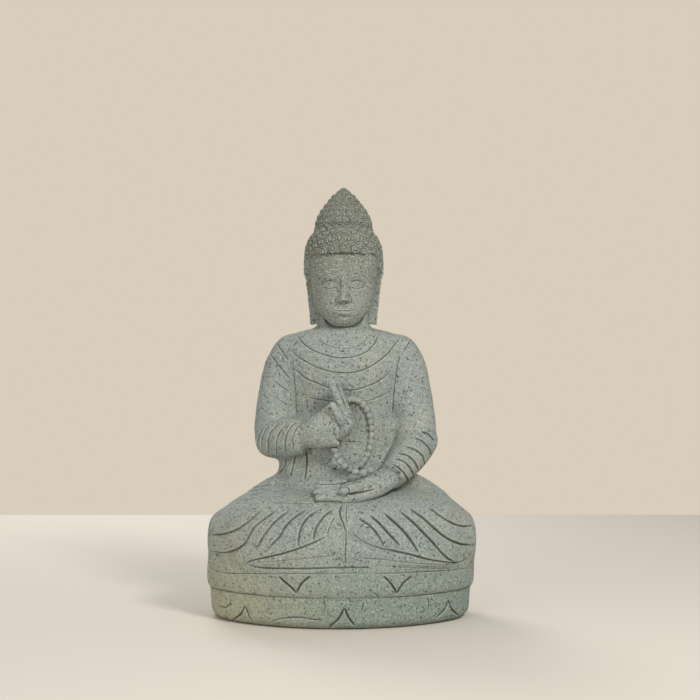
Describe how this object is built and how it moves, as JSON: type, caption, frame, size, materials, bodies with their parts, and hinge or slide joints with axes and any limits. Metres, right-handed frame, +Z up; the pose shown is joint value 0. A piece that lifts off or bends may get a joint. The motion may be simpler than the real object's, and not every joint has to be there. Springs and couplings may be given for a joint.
{
  "type": "buddha statue",
  "caption": "Seated stone buddha on a double lotus base, one hand raised with prayer beads and the other resting palm up in the lap.",
  "frame": {"origin": "on the floor, under the middle of the base", "axes": "+Z up through the topknot, -Y towards the viewer the figure faces, +X towards the figure's left hand"},
  "size_m": [0.626, 0.4378, 1],
  "materials": {
    "stone": "chisel-finished grey-green stone, matte"
  },
  "bodies": {
    "root": {"lower_lotus_tier": "stone", "upper_lotus_tier": "stone", "robe_hem": "stone", "right_thigh": "stone", "right_shin": "stone", "left_thigh": "stone", "left_shin": "stone", "torso": "stone", "neck": "stone", "head": "stone", "hair_cap": "stone", "topknot": "stone", "right_ear": "stone", "left_ear": "stone", "right_upper_arm": "stone", "left_upper_arm": "stone", "right_cuff": "stone", "right_forearm": "stone", "left_forearm": "stone", "right_palm": "stone", "right_middle_finger": "stone", "right_ring_finger": "stone", "right_index_finger": "stone", "right_little_finger": "stone", "right_thumb": "stone", "left_palm": "stone", "left_thumb": "stone", "left_index_finger": "stone", "left_middle_finger": "stone", "left_ring_finger": "stone", "left_little_finger": "stone", "mala_beads": "stone", "mala_cord": "stone"}
  },
  "joints": []
}
